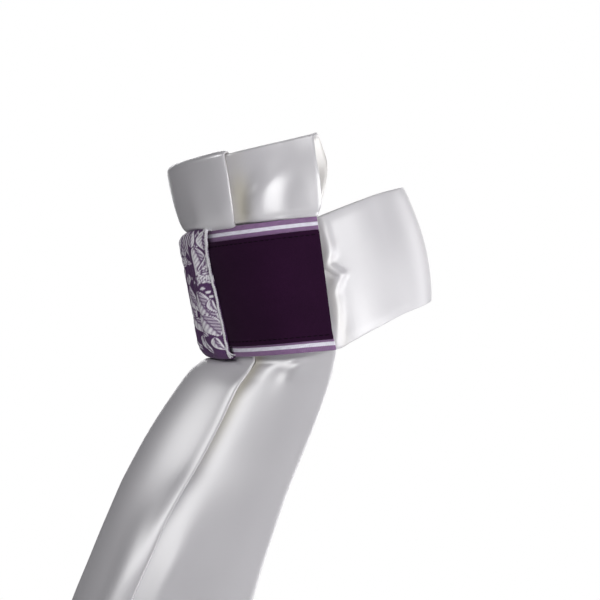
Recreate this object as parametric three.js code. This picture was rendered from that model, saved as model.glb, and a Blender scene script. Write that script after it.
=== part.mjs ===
// A ready-tied riding stock tie: a satin neck band that closes at the back, a box-pleated frill that
// stands above a cross band, a box-pleated fall that hangs below it, and a brocade knot at the front.
//
// Everything is laid out round the neck. A place is an angle round the neck (0 at the front, positive
// towards the wearer's left, 180 at the back), a height along the neck, and a lift, which is how far
// it lies outside the neck band's inner face. The whole tie then leans forward with the neck.
import * as THREE from 'three';

// Driving dimensions, in millimetres and degrees.
const NECK_HALF_WIDTH = 57;
const NECK_HALF_DEPTH = 61;
const NECK_LEAN = 14.2;
const SEAT = 0.3;
const SATIN = 1.0;
const BAND_WALL = 1.8;
const PAD_THICKNESS = 1.2;
const RIBBON_THICKNESS = 1.0;
const PANEL_THICKNESS = 1.2;
const BROCADE = 1.2;

// The neck band's ends pass each other at the back: the outer end comes round from the wearer's left.
const INNER_END = -196;
const OUTER_END = 186;
const END_RISES_FROM = 128;
const END_RISES_TO = 152;
const NAPE_DRAW = 2.4;
const NAPE_DRAW_FROM = 115;
const NAPE_DRAW_TO = 160;
const NAPE_SWELL = 4;
const BAND_ROWS_MADE = 9;

// The pad lies between the ends, from one angle and height to another.
const PAD_FROM = -190;
const PAD_TO = -176;
const PAD_BOTTOM = -26;
const PAD_TOP = 28;
const PAD_ROWS_MADE = 7;

// The cross band's edges are level rings seen aslant, so they drop from the front to the side.
const CROSS_TOP = 41.5;
const CROSS_TOP_DROP = 9.7;
const CROSS_BOTTOM = -37.5;
const CROSS_BOTTOM_DROP = 11.7;
const CROSS_END_TOP = 91;
const CROSS_END_BOTTOM = 83.2;
const KNOT_PINCH_TOP = 1.4;
const KNOT_PINCH_BOTTOM = 3.2;
const KNOT_PINCH_SPREAD = 17;
const TOP_RIBBON_SHOWS = 8.1;
const BOTTOM_RIBBON_SHOWS = 6.9;
const RIBBON_TUCK = 5;
const STRIP_COLUMNS = 36;

// Three plies of a pleat lie on each other under the cross band, one ply at its ends.
const PLY_STEP = SATIN + SEAT;
const PLEAT_STACK = 2 * PLY_STEP + SATIN;
const PLEATS_END = 54;
const PLIES_THIN_BY = 86;
const UNDER_LIFT = BAND_WALL + SEAT;
const FRONT_LIFT_MIDDLE = UNDER_LIFT + PLEAT_STACK + SEAT;
const FRONT_LIFT_SIDE = UNDER_LIFT + SATIN + SEAT;
const CROSS_LIFT_MIDDLE = FRONT_LIFT_MIDDLE + PLEAT_STACK + SEAT;
const CROSS_LIFT_SIDE = FRONT_LIFT_SIDE + SATIN + SEAT;

// Heights of the neck band's top and bottom edges at angles round the neck.
const NECK_BAND_EDGES = [
  { angle: 0, top: 34, bottom: -34 },
  { angle: 45, top: 33, bottom: -39 },
  { angle: 84, top: 30.4, bottom: -47.6 },
  { angle: 94, top: 31.2, bottom: -45.2 },
  { angle: 108, top: 33.5, bottom: -41.6 },
  { angle: 134, top: 36.2, bottom: -37.1 },
  { angle: 200, top: 37, bottom: -34 },
];

// The puffed ridge in the neck band beside the end of the cross band, which kinks at mid height.
const RIDGE_HEIGHT = 2.6;
const RIDGE_HALF_WIDTH = 2.5;
const RIDGE_MIDDLE = 94;
const RIDGE_REACH = 11;
const RIDGE_COLUMNS = 10;
const RIDGE = [
  { height: -47, angle: 87 },
  { height: -31, angle: 90.3 },
  { height: -16, angle: 96.5 },
  { height: -5, angle: 91 },
  { height: 8, angle: 96 },
  { height: 31, angle: 97 },
];

// The frill climbs from behind the cross band, over its top fold and down inside to the neck band.
// Each row gives the cloth's back face at the middle of the front and at the open side end.
const FRILL_ROWS = [
  { step: 0, height: 22, lift: FRONT_LIFT_MIDDLE, sideHeight: 14, sideLift: FRONT_LIFT_SIDE, end: 88.3 },
  { step: 1, height: 44.4, lift: FRONT_LIFT_MIDDLE, sideHeight: 33, sideLift: FRONT_LIFT_SIDE, end: 89.6 },
  { step: 2, height: 47.2, lift: 10.2, sideHeight: 37, sideLift: 4.8, end: 91.4 },
  { step: 3, height: 51, lift: 12.6, sideHeight: 43, sideLift: 7.4, end: 94 },
  { step: 4, height: 60, lift: 13.5, sideHeight: 54, sideLift: 9.2, end: 96 },
  { step: 5, height: 70, lift: 13.6, sideHeight: 66, sideLift: 8.6, end: 97 },
  { step: 6, height: 77.5, lift: 12.8, sideHeight: 76, sideLift: 7, end: 98.7 },
  { step: 7, height: 80.6, lift: 11.4, sideHeight: 79.3, sideLift: 6, end: 100 },
  { step: 8, height: 81.4, lift: 9.9, sideHeight: 80, sideLift: 5.2, end: 101 },
  { step: 9, height: 80.6, lift: 8.4, sideHeight: 79.3, sideLift: 4.4, end: 102 },
  { step: 10, height: 77, lift: 7.4, sideHeight: 74, sideLift: 3.2, end: 103 },
  { step: 11, height: 64, lift: 6.2, sideHeight: 60, sideLift: 2.6, end: 103.4 },
  { step: 12, height: 48, lift: 5.8, sideHeight: 43, sideLift: 3.2, end: 96.5 },
  { step: 13, height: 31, lift: 5.8, sideHeight: 26.5, sideLift: 3.3, end: 86 },
];
const FRILL_FOLD_AT_BAND = 48;
const FRILL_FOLD_AT_TOP = 54;
const FRILL_FOLD_WIDENS = { from: 1, to: 5.5 };
const FRILL_OVERLAP = 22;
const FRILL_RIPPLE = 1.5;
const FRILL_RIPPLE_CREST = 76;
const FRILL_RIPPLE_HALF_WIDTH = 6.5;
const FRILL_FRONT_STEPS = { from: 2, full: 4, until: 6, gone: 8 };
const FRILL_ROWS_MADE = 18;

// The fall slides out under the cross band, turns over the knot's lower edge and hangs forward.
// Each row gives the cloth's back face in the neck's frame, at the middle and at the side hem, and
// how far the middle panel puffs out. Depth is towards the wearer's back, across to the left.
const FALL_HALF_SPREAD = 83;
const FALL_ROWS = [
  { step: 0, depth: -67, height: -19, puff: 0, across: 59.9, sideDepth: -7.9, sideHeight: -26 },
  { step: 1, depth: -67, height: -32, puff: 0, across: 59.9, sideDepth: -7.9, sideHeight: -41 },
  { step: 2, depth: -67.2, height: -39, puff: 0, across: 60, sideDepth: -7.8, sideHeight: -46.5 },
  { step: 3, depth: -68.6, height: -43.8, puff: 3, across: 60.6, sideDepth: -8.8, sideHeight: -51 },
  { step: 4, depth: -72.6, height: -47.4, puff: 9.8, across: 61.4, sideDepth: -11, sideHeight: -55.5 },
  { step: 5, depth: -77.6, height: -51.3, puff: 13.4, across: 62.4, sideDepth: -13.8, sideHeight: -61 },
  { step: 6, depth: -86, height: -58.8, puff: 15.6, across: 63.6, sideDepth: -18.1, sideHeight: -67.8 },
  { step: 7, depth: -101.8, height: -77, puff: 18.9, across: 67.2, sideDepth: -31, sideHeight: -86.4 },
  { step: 8, depth: -119.7, height: -94.9, puff: 19, across: 70.2, sideDepth: -44.4, sideHeight: -104.4 },
  { step: 9, depth: -140, height: -110.3, puff: 14.4, across: 73.2, sideDepth: -57.9, sideHeight: -122.2 },
  { step: 10, depth: -160.6, height: -125.5, puff: 7, across: 76.3, sideDepth: -70.3, sideHeight: -140.6 },
  { step: 11, depth: -177.6, height: -142, puff: 3, across: 80, sideDepth: -82.5, sideHeight: -159 },
  { step: 12, depth: -193.6, height: -160.2, puff: 1, across: 83, sideDepth: -93.9, sideHeight: -177.8 },
  { step: 13, depth: -203.6, height: -173.4, puff: 0, across: 84.5, sideDepth: -102, sideHeight: -190.5 },
];
const FALL_FOLD_AT_TOP = 0.455;
const FALL_FOLD_AT_HEM = 0.52;
const FALL_FOLD_WIDENS = { from: 7.5, to: 11 };
const FALL_OVERLAP_AT_TOP = 25;
const FALL_OVERLAP_AT_HEM = 10;
const FALL_ROWS_MADE = 20;

// The knot's cloth goes from the frill over the cross band's top edge, down the front and under its
// bottom edge. Each row gives its inner face: how far down the cross band it is, how far it stands
// past the band's edge, its lift, its half width, how much of the gathers shows there and how far
// they bulge out at the middle.
const KNOT_LIFT = CROSS_LIFT_MIDDLE + RIBBON_THICKNESS + SEAT + PANEL_THICKNESS + SEAT;
const KNOT_ROWS = [
  { step: 0, down: 0, past: 0.5, lift: CROSS_LIFT_MIDDLE, halfWidth: 32, folds: 0, crown: 0 },
  { step: 1, down: 0, past: 0.9, lift: KNOT_LIFT - 1, halfWidth: 32, folds: 0.1, crown: 0.4 },
  { step: 2, down: 0.01, past: 0.8, lift: KNOT_LIFT + 0.6, halfWidth: 31.5, folds: 0.5, crown: 1.6 },
  { step: 3, down: 0.07, past: 0, lift: KNOT_LIFT, halfWidth: 28.4, folds: 1, crown: 2.7 },
  { step: 4, down: 0.25, past: 0, lift: KNOT_LIFT, halfWidth: 25.4, folds: 1, crown: 3.3 },
  { step: 5, down: 0.48, past: 0, lift: KNOT_LIFT, halfWidth: 25, folds: 1, crown: 4.9 },
  { step: 6, down: 0.7, past: 0, lift: KNOT_LIFT, halfWidth: 24, folds: 1, crown: 6.2 },
  { step: 7, down: 0.88, past: 0, lift: KNOT_LIFT, halfWidth: 23, folds: 0.9, crown: 7 },
  { step: 8, down: 0.97, past: 0, lift: KNOT_LIFT, halfWidth: 22.4, folds: 0.5, crown: 7 },
  { step: 9, down: 1, past: -0.4, lift: KNOT_LIFT - 1, halfWidth: 22.2, folds: 0.1, crown: 5 },
  { step: 10, down: 1, past: -0.3, lift: CROSS_LIFT_MIDDLE, halfWidth: 22.2, folds: 0, crown: 0 },
];
const KNOT_FOLD_HEIGHT = 2.6;
const KNOT_FOLD_COUNT = 3.1;
const KNOT_FOLD_SLANT = 2.3;
const KNOT_ROWS_MADE = 24;
const KNOT_COLUMNS = 18;

const { degToRad, lerp, smoothstep } = THREE.MathUtils;

// A short step along a surface, for working out which way it runs.
const NUDGE = 0.01;

const cloth = (name, color, roughness) => (
  new THREE.MeshStandardMaterial({ name, color, roughness, metalness: 0 })
);
const satin = (name) => cloth(name, 0xe6e5ec, 0.35);
const aubergine = cloth('aubergine', 0x26102b, 0.8);
const lilac = cloth('lilac_ribbon', 0x9a86ab, 0.6);
const brocade = cloth('brocade', 0x7d6a8c, 0.55);
const padding = cloth('closure_tape', 0xdedde2, 0.9);

// A point round the neck.
function neckPoint(angle, height, lift) {
  const turn = degToRad(angle);
  const across = (NECK_HALF_WIDTH + lift) * Math.sin(turn);
  const depth = -(NECK_HALF_DEPTH + lift) * Math.cos(turn);
  return new THREE.Vector3(across, depth, height);
}

// Reads a column of a table at a place between its rows, on a smooth curve through them.
function read(table, key, place, column) {
  const last = table.length - 1;
  let row = 0;
  while (row < last - 1 && place > table[row + 1][key]) row += 1;
  const slope = (at) => {
    const before = table[Math.max(at - 1, 0)];
    const after = table[Math.min(at + 1, last)];
    return (after[column] - before[column]) / (after[key] - before[key]);
  };
  const from = table[row];
  const to = table[row + 1];
  const span = to[key] - from[key];
  const t = THREE.MathUtils.clamp((place - from[key]) / span, 0, 1);
  const ease = t * t * (3 - 2 * t);
  const leave = t * (1 - t) * (1 - t) * span * slope(row);
  const arrive = t * t * (t - 1) * span * slope(row + 1);
  return from[column] * (1 - ease) + to[column] * ease + leave + arrive;
}

// The same, carried straight on past the table's first and last rows.
function readOn(table, key, place, column) {
  const first = table[0][key];
  const last = table[table.length - 1][key];
  const inside = THREE.MathUtils.clamp(place, first, last);
  const inward = place < first ? NUDGE : -NUDGE;
  const value = read(table, key, inside, column);
  const rate = (read(table, key, inside + inward, column) - value) / inward;
  return value + rate * (place - inside);
}

// Evenly spaced values from the first to the last, both included.
function steps(first, last, count) {
  return Array.from({ length: count + 1 }, (unused, i) => lerp(first, last, i / count));
}

// A wall of cloth from two grids of points, its face and its back, joined all round the edge.
function clothWall(name, face, back, material) {
  const rows = face.length;
  const columns = face[0].length;
  const points = [...face.flat(), ...back.flat()];
  const faceAt = (row, column) => row * columns + column;
  const backAt = (row, column) => rows * columns + faceAt(row, column);
  const index = [];
  const quad = (a, b, c, d) => index.push(a, b, c, a, c, d);
  for (let r = 0; r < rows - 1; r += 1) {
    for (let c = 0; c < columns - 1; c += 1) {
      quad(faceAt(r, c), faceAt(r, c + 1), faceAt(r + 1, c + 1), faceAt(r + 1, c));
      quad(backAt(r, c), backAt(r + 1, c), backAt(r + 1, c + 1), backAt(r, c + 1));
    }
    const end = columns - 1;
    quad(faceAt(r, 0), faceAt(r + 1, 0), backAt(r + 1, 0), backAt(r, 0));
    quad(faceAt(r, end), backAt(r, end), backAt(r + 1, end), faceAt(r + 1, end));
  }
  for (let c = 0; c < columns - 1; c += 1) {
    const end = rows - 1;
    quad(faceAt(0, c), backAt(0, c), backAt(0, c + 1), faceAt(0, c + 1));
    quad(faceAt(end, c), faceAt(end, c + 1), backAt(end, c + 1), backAt(end, c));
  }
  let volume = 0;
  for (let i = 0; i < index.length; i += 3) {
    const [a, b, c] = [points[index[i]], points[index[i + 1]], points[index[i + 2]]];
    volume += a.dot(b.clone().cross(c));
  }
  if (volume < 0) index.reverse();
  const geometry = new THREE.BufferGeometry();
  geometry.setAttribute('position', new THREE.Float32BufferAttribute(points.flatMap((p) => p.toArray()), 3));
  geometry.setIndex(index);
  geometry.computeVertexNormals();
  const mesh = new THREE.Mesh(geometry, material);
  mesh.name = name;
  return mesh;
}

// How far the stack of pleats has thinned to one ply at an angle: 0 at the front, 1 at the sides.
const thinned = (angle) => smoothstep(Math.abs(angle), PLEATS_END, PLIES_THIN_BY);
const crossLift = (angle) => lerp(CROSS_LIFT_MIDDLE, CROSS_LIFT_SIDE, thinned(angle));

// The cross band's edges, drawn in a little under the knot.
function crossEdges(angle) {
  const turned = 1 - Math.cos(degToRad(angle));
  const pinch = Math.exp(-((angle / KNOT_PINCH_SPREAD) ** 2));
  return {
    top: CROSS_TOP - CROSS_TOP_DROP * turned - KNOT_PINCH_TOP * pinch,
    bottom: CROSS_BOTTOM - CROSS_BOTTOM_DROP * turned + KNOT_PINCH_BOTTOM * pinch,
  };
}

// A strip of the cross band between two heights, each a function of the angle.
function crossStrip(name, top, bottom, liftFromBand, thickness, material) {
  const angleAt = (share, height) => {
    const down = (CROSS_TOP - height) / (CROSS_TOP - CROSS_BOTTOM);
    return share * lerp(CROSS_END_TOP, CROSS_END_BOTTOM, THREE.MathUtils.clamp(down, 0, 1));
  };
  const grid = (extra) => [bottom, top].map((edge) => steps(-1, 1, STRIP_COLUMNS).map((share) => {
    const nearby = share * CROSS_END_BOTTOM;
    const angle = angleAt(share, edge(nearby));
    return neckPoint(angle, edge(angle), crossLift(angle) + liftFromBand + extra);
  }));
  return clothWall(name, grid(thickness), grid(0), material);
}

const bandEdge = (angle, column) => read(NECK_BAND_EDGES, 'angle', Math.abs(angle), column);

// The neck band is drawn in at the nape, where its ends lie on each other, and swells between its
// edges there.
const napeDraw = (angle, height) => {
  const bottom = bandEdge(angle, 'bottom');
  const up = (height - bottom) / (bandEdge(angle, 'top') - bottom);
  const draw = NAPE_DRAW - NAPE_SWELL * Math.sin(Math.PI * up);
  return draw * smoothstep(Math.abs(angle), NAPE_DRAW_FROM, NAPE_DRAW_TO);
};

function neckBand() {
  const endRise = (angle) => {
    const share = smoothstep(angle, END_RISES_FROM, END_RISES_TO);
    return share * (BAND_WALL + PAD_THICKNESS + 2 * SEAT);
  };
  const ridgeStart = RIDGE_MIDDLE - RIDGE_REACH;
  const ridgeEnd = RIDGE_MIDDLE + RIDGE_REACH;
  const angles = [
    ...steps(INNER_END, -ridgeEnd, 11), ...steps(-ridgeEnd, -ridgeStart, RIDGE_COLUMNS).slice(1),
    ...steps(-ridgeStart, ridgeStart, 16).slice(1),
    ...steps(ridgeStart, ridgeEnd, RIDGE_COLUMNS).slice(1), ...steps(ridgeEnd, OUTER_END, 11).slice(1),
  ];
  const grid = (extra) => steps(0, 1, BAND_ROWS_MADE).map((up) => angles.map((evenAngle) => {
    const evenHeight = lerp(bandEdge(evenAngle, 'bottom'), bandEdge(evenAngle, 'top'), up);
    const fromRidge = Math.abs(evenAngle) - RIDGE_MIDDLE;
    const follow = Math.max(1 - Math.abs(fromRidge) / RIDGE_REACH, 0);
    const aside = read(RIDGE, 'height', evenHeight, 'angle') - RIDGE_MIDDLE;
    const angle = evenAngle + Math.sign(evenAngle) * aside * follow;
    const height = lerp(bandEdge(angle, 'bottom'), bandEdge(angle, 'top'), up);
    const puff = RIDGE_HEIGHT * Math.exp(-((fromRidge / RIDGE_HALF_WIDTH) ** 2));
    return neckPoint(angle, height, endRise(angle) + puff - napeDraw(angle, height) + extra);
  }));
  return clothWall('neck_band', grid(BAND_WALL), grid(0), satin('collar_satin'));
}

// One flat pad of closing tape between the two ends of the neck band.
function closurePad() {
  const heights = steps(PAD_BOTTOM, PAD_TOP, PAD_ROWS_MADE);
  const grid = (extra) => heights.map((height) => steps(PAD_FROM, PAD_TO, 4).map((angle) => (
    neckPoint(angle, height, BAND_WALL + SEAT - napeDraw(angle, height) + extra)
  )));
  return clothWall('closure_pad', grid(PAD_THICKNESS), grid(0), padding);
}

// A box-pleated section from one side edge to the other: the middle panel lies on top, each pleat
// folds back under it, and the side panels lie beneath. Places run from -1 to 1 across the cloth.
function pleatedSection({ fold, overlap, millimetre, panelParts, sideParts }) {
  const low = SATIN / 2;
  const middle = low + PLY_STEP;
  const high = middle + PLY_STEP;
  const turn = fold - overlap;
  const half = [
    ...steps(0, fold, panelParts).slice(1).map((place) => ({ place, lift: high })),
    ...steps(fold, turn, 2).map((place) => ({ place, lift: middle })),
    ...steps(turn, fold, 2).map((place) => ({ place, lift: low })),
    ...steps(fold, 1, sideParts).slice(1).map((place) => ({ place, lift: low })),
  ];
  const mirrored = half.map(({ place, lift }) => ({ place: -place, lift })).reverse();
  const path = [...mirrored, { place: 0, lift: high }, ...half];
  const normals = path.slice(1).map((to, i) => {
    const along = new THREE.Vector2((to.place - path[i].place) / millimetre, to.lift - path[i].lift);
    return new THREE.Vector2(-along.y, along.x).normalize();
  });
  const shifted = (side) => path.map(({ place, lift }, i) => {
    const before = normals[Math.max(i - 1, 0)];
    const after = normals[Math.min(i, normals.length - 1)];
    const corner = before.clone().add(after).multiplyScalar((side * low) / (1 + before.dot(after)));
    return { place: place + corner.x * millimetre, lift: lift + corner.y };
  });
  return { face: shifted(1), back: shifted(-1) };
}

// The direction square to a surface.
function normalOf(surface, across, row) {
  const alongCloth = surface(across + NUDGE, row).sub(surface(across - NUDGE, row));
  const alongRows = surface(across, row + NUDGE).sub(surface(across, row - NUDGE));
  return alongCloth.cross(alongRows).normalize();
}

// A pleated sheet laid on a surface: each row's section is raised along the surface's normal.
function pleatedCloth(name, surface, rowPlaces, facing, sectionAt, material) {
  const place = ({ place: across, lift }, row) => {
    const outward = normalOf(surface, across, row).multiplyScalar(facing);
    return surface(across, row).addScaledVector(outward, lift);
  };
  const sections = rowPlaces.map((row) => ({ row, ...sectionAt(row) }));
  const grid = (side) => sections.map((section) => section[side].map((stop) => place(stop, section.row)));
  return clothWall(name, grid('face'), grid('back'), material);
}

function frill() {
  const lastStep = FRILL_ROWS.length - 1;
  const column = (row, name) => readOn(FRILL_ROWS, 'step', row, name);
  const onFront = (row) => smoothstep(row, FRILL_FRONT_STEPS.from, FRILL_FRONT_STEPS.full)
    * (1 - smoothstep(row, FRILL_FRONT_STEPS.until, FRILL_FRONT_STEPS.gone));
  const surface = (across, row) => {
    const angle = across * column(row, 'end');
    const turned = Math.min(1 - Math.cos(degToRad(angle)), 1);
    const height = lerp(column(row, 'height'), column(row, 'sideHeight'), turned);
    const fromCrest = (Math.abs(angle) - FRILL_RIPPLE_CREST) / FRILL_RIPPLE_HALF_WIDTH;
    const ripple = FRILL_RIPPLE * Math.exp(-(fromCrest ** 2)) * onFront(row);
    const lift = lerp(column(row, 'lift'), column(row, 'sideLift'), thinned(angle));
    return neckPoint(angle, height, lift + ripple);
  };
  const sectionAt = (row) => {
    const end = column(row, 'end');
    const millimetre = 1 / (degToRad(end) * (NECK_HALF_DEPTH + column(row, 'lift')));
    const overlap = FRILL_OVERLAP * millimetre;
    const share = smoothstep(row, FRILL_FOLD_WIDENS.from, FRILL_FOLD_WIDENS.to);
    const fold = lerp(FRILL_FOLD_AT_BAND, FRILL_FOLD_AT_TOP, share) / end;
    return pleatedSection({ fold, overlap, millimetre, panelParts: 6, sideParts: 7 });
  };
  const rows = steps(0, lastStep, FRILL_ROWS_MADE);
  return pleatedCloth('frill', surface, rows, 1, sectionAt, satin('frill_satin'));
}

function fall() {
  const lastStep = FALL_ROWS.length - 1;
  const spread = degToRad(FALL_HALF_SPREAD);
  const column = (row, name) => readOn(FALL_ROWS, 'step', row, name);
  const plainSurface = (across, row) => {
    const turned = (1 - Math.cos(across * spread)) / (1 - Math.cos(spread));
    return new THREE.Vector3(
      column(row, 'across') * Math.sin(across * spread) / Math.sin(spread),
      lerp(column(row, 'depth'), column(row, 'sideDepth'), turned),
      lerp(column(row, 'height'), column(row, 'sideHeight'), turned),
    );
  };
  const surface = (across, row) => {
    const reach = Math.min(Math.abs(across) / FALL_FOLD_AT_TOP, 1);
    const puff = column(row, 'puff') * Math.cos(reach * Math.PI / 2) ** 2;
    return plainSurface(across, row).addScaledVector(normalOf(plainSurface, across, row), -puff);
  };
  const sectionAt = (row) => {
    const down = row / lastStep;
    const widened = smoothstep(row, FALL_FOLD_WIDENS.from, FALL_FOLD_WIDENS.to);
    const fold = lerp(FALL_FOLD_AT_TOP, FALL_FOLD_AT_HEM, widened);
    const millimetre = 2 * NUDGE / surface(fold + NUDGE, row).distanceTo(surface(fold - NUDGE, row));
    const overlap = lerp(FALL_OVERLAP_AT_TOP, FALL_OVERLAP_AT_HEM, down) * millimetre;
    return pleatedSection({ fold, overlap, millimetre, panelParts: 6, sideParts: 5 });
  };
  const rows = steps(0, lastStep, FALL_ROWS_MADE);
  return pleatedCloth('fall', surface, rows, -1, sectionAt, satin('fall_satin'));
}

function knotWrap() {
  const lastStep = KNOT_ROWS.length - 1;
  const pointAt = (share, row, side) => {
    const column = (name, at) => read(KNOT_ROWS, 'step', THREE.MathUtils.clamp(at, 0, lastStep), name);
    const angle = share * column('halfWidth', row);
    const edges = crossEdges(angle);
    const phase = share * KNOT_FOLD_COUNT - (row / lastStep) * KNOT_FOLD_SLANT;
    const crease = KNOT_FOLD_HEIGHT * Math.abs(Math.sin(phase * Math.PI / 2));
    const folds = (1 - share ** 4) * (column('folds', row) * crease + column('crown', row));
    const place = (at) => new THREE.Vector2(
      column('lift', at) + folds,
      lerp(edges.top, edges.bottom, column('down', at)) + column('past', at),
    );
    const along = place(row + NUDGE).sub(place(row - NUDGE));
    const outward = new THREE.Vector2(-along.y, along.x).normalize();
    const { x: lift, y: height } = place(row).addScaledVector(outward, side * BROCADE);
    return neckPoint(angle, height, lift);
  };
  const rows = steps(0, lastStep, KNOT_ROWS_MADE);
  const columns = steps(-1, 1, KNOT_COLUMNS);
  const grid = (side) => rows.map((row) => columns.map((share) => pointAt(share, row, side)));
  return clothWall('knot_wrap', grid(1), grid(0), brocade);
}

function topRibbon() {
  const top = (angle) => crossEdges(angle).top;
  const bottom = (angle) => top(angle) - TOP_RIBBON_SHOWS - RIBBON_TUCK;
  return crossStrip('top_ribbon', top, bottom, 0, RIBBON_THICKNESS, lilac);
}

function bottomRibbon() {
  const bottom = (angle) => crossEdges(angle).bottom;
  const top = (angle) => bottom(angle) + BOTTOM_RIBBON_SHOWS + RIBBON_TUCK;
  return crossStrip('bottom_ribbon', top, bottom, 0, RIBBON_THICKNESS, lilac);
}

function crossPanel() {
  const top = (angle) => crossEdges(angle).top - TOP_RIBBON_SHOWS;
  const bottom = (angle) => crossEdges(angle).bottom + BOTTOM_RIBBON_SHOWS;
  return crossStrip('cross_panel', top, bottom, RIBBON_THICKNESS + SEAT, PANEL_THICKNESS, aubergine);
}

const stockTie = new THREE.Group();
stockTie.name = 'stock_tie';
stockTie.add(neckBand(), closurePad(), frill(), fall());
stockTie.add(topRibbon(), bottomRibbon(), crossPanel(), knotWrap());
stockTie.rotation.x = degToRad(NECK_LEAN);

export default stockTie;
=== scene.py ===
# %% [markdown]
# # A ready-tied stock tie
#
# A stock tie is the white neckcloth of formal riding dress. This one is sold ready tied: a satin
# band closes round the neck at the back, a pleated frill stands up at the front, a pleated fall
# hangs down the chest, and a dark cross band with a gathered brocade knot holds the two together.
#
# The lesson builds each piece of cloth as one thin closed mesh, laid out round the neck, and gives
# it a finish of its own. Lengths are written in millimetres and turned into metres as they are
# laid. +X is the wearer's left, -Y the wearer's front, and +Z is up.

# %% Load the frame
import math

import bpy
import numpy as np
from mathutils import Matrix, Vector


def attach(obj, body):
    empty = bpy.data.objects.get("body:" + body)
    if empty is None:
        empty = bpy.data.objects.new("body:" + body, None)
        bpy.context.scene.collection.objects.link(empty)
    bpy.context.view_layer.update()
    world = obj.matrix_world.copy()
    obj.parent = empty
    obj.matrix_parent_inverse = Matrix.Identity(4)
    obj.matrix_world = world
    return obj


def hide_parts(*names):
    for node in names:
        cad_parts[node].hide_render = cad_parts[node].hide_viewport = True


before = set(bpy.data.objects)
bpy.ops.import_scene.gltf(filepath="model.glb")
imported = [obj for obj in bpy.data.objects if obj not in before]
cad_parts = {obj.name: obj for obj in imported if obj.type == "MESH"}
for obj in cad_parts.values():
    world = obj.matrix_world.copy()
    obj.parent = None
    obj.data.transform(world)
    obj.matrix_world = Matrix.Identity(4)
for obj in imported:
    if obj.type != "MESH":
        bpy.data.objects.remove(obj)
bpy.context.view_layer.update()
MM = 0.001

# %% [markdown]
# ## Small helpers
#
# Objects and shader nodes are made all through the lesson, so each has a helper. A node's socket
# takes either a fixed value or the output of another node.

# %% Small helpers
scene = bpy.context.scene


def added(name, data):
    """A new object of the scene."""
    thing = bpy.data.objects.new(name, data)
    scene.collection.objects.link(thing)
    return thing


def plug(tree, socket, value):
    """Gives a socket a fixed value, or links it if the value is another node's output."""
    if isinstance(value, bpy.types.NodeSocket):
        tree.links.new(value, socket)
    else:
        socket.default_value = value


def node(tree, kind, **sockets):
    """A new node of a tree, with the named sockets plugged."""
    made = tree.nodes.new(kind)
    for name, value in sockets.items():
        plug(tree, made.inputs[name.replace("_", " ")], value)
    return made

# %% [markdown]
# ## The camera
#
# The photograph was taken from the wearer's left and a touch in front, level with the neck, and
# from far enough away that the neck band's upper and lower edges open only a little. A long lens
# at a metre and a half gives that. One picture point at the neck covers 0.625 mm.

# %% Camera
CAMERA_TURN = 85
CAMERA_DISTANCE = 1.5
PICTURE_POINT = 0.625 * MM
CENTRE_RIGHT = -19 * PICTURE_POINT
CENTRE_UP = -30 * PICTURE_POINT


def direction(turn, rise=0):
    """The way from the tie to a compass turn and a rise, both in degrees."""
    turn, rise = math.radians(turn), math.radians(rise)
    return Vector((math.sin(turn) * math.cos(rise), -math.cos(turn) * math.cos(rise), math.sin(rise)))


picture_centre = CENTRE_RIGHT * direction(CAMERA_TURN + 90) + CENTRE_UP * Vector((0, 0, 1))


def aim(thing, away, distance):
    """Stands a camera or a lamp some way off and turns it to the middle of the picture."""
    thing.location = picture_centre + distance * away
    thing.rotation_mode = "QUATERNION"
    thing.rotation_quaternion = (-away).to_track_quat("-Z", "Y")


camera_data = bpy.data.cameras.new("camera")
camera_data.lens = 144
camera_data.sensor_width = 36
camera_data.clip_start = 0.05
camera = added("camera", camera_data)
aim(camera, direction(CAMERA_TURN), CAMERA_DISTANCE)
scene.camera = camera
print("camera at", [round(x, 3) for x in camera.location])

# %% [markdown]
# ## Soft studio light
#
# White satin shows its shape only by light and shade, so each light has a clear direction. The key
# stands on the wearer's left, a little behind, and lights the neck band fully. A smaller rim light
# picks out the crest of the band's loose fold. The back light carries brightness round to the nape,
# and the high light lifts cloth that faces upwards. The front light is small, high and far off, and
# draws the bright bands down the pleats. A fill keeps the wearer's right from going dark. The
# backdrop is plain white to the eye but gives only a little light of its own.

# %% Light
def soft_box(name, turn, rise, distance, size, power):
    """A square light that faces the tie."""
    light = bpy.data.lights.new(name, "AREA")
    light.shape = "SQUARE"
    light.size = size
    light.energy = power
    aim(added(name, light), direction(turn, rise), distance)


# Each row is a name, a turn and a rise in degrees, a distance and a size in metres, and watts.
LIGHTS = (
    ("key_light", 120, -4, 1.6, 0.8, 12),
    ("rim_light", 150, -4, 1.6, 0.5, 4),
    ("back_light", 200, 5, 1.6, 1.4, 11),
    ("high_light", 100, 38, 1.6, 0.7, 4.5),
    ("front_light", 21, 30, 3.2, 1.2, 29),
    ("fill_light", 265, 22, 2.0, 1.6, 22),
)
for light in LIGHTS:
    soft_box(*light)

BACKDROP = (1, 1, 1, 1)
ROOM_LIGHT = (0.96, 0.97, 1, 1)
ROOM_STRENGTH = 0.03

world = bpy.data.worlds.new("white_room")
world.use_nodes = True
scene.world = world
room = world.node_tree
room.nodes.clear()
seen = node(room, "ShaderNodeBackground", Color=BACKDROP)
given = node(room, "ShaderNodeBackground", Color=ROOM_LIGHT, Strength=ROOM_STRENGTH)
ray = node(room, "ShaderNodeLightPath")
choose = node(room, "ShaderNodeMixShader", Fac=ray.outputs["Is Camera Ray"])
room.links.new(given.outputs[0], choose.inputs[1])
room.links.new(seen.outputs[0], choose.inputs[2])
node(room, "ShaderNodeOutputWorld", Surface=choose.outputs[0])
scene.view_settings.view_transform = "Standard"

# %% [markdown]
# ## The finishes' building blocks
#
# Every finish here is a small tree of nodes round one cloth shader. The pattern of a cloth belongs
# to the cloth, not to the room, so it is laid on flat-cloth coordinates that each piece stores, in
# metres along the weft and the warp.

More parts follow.
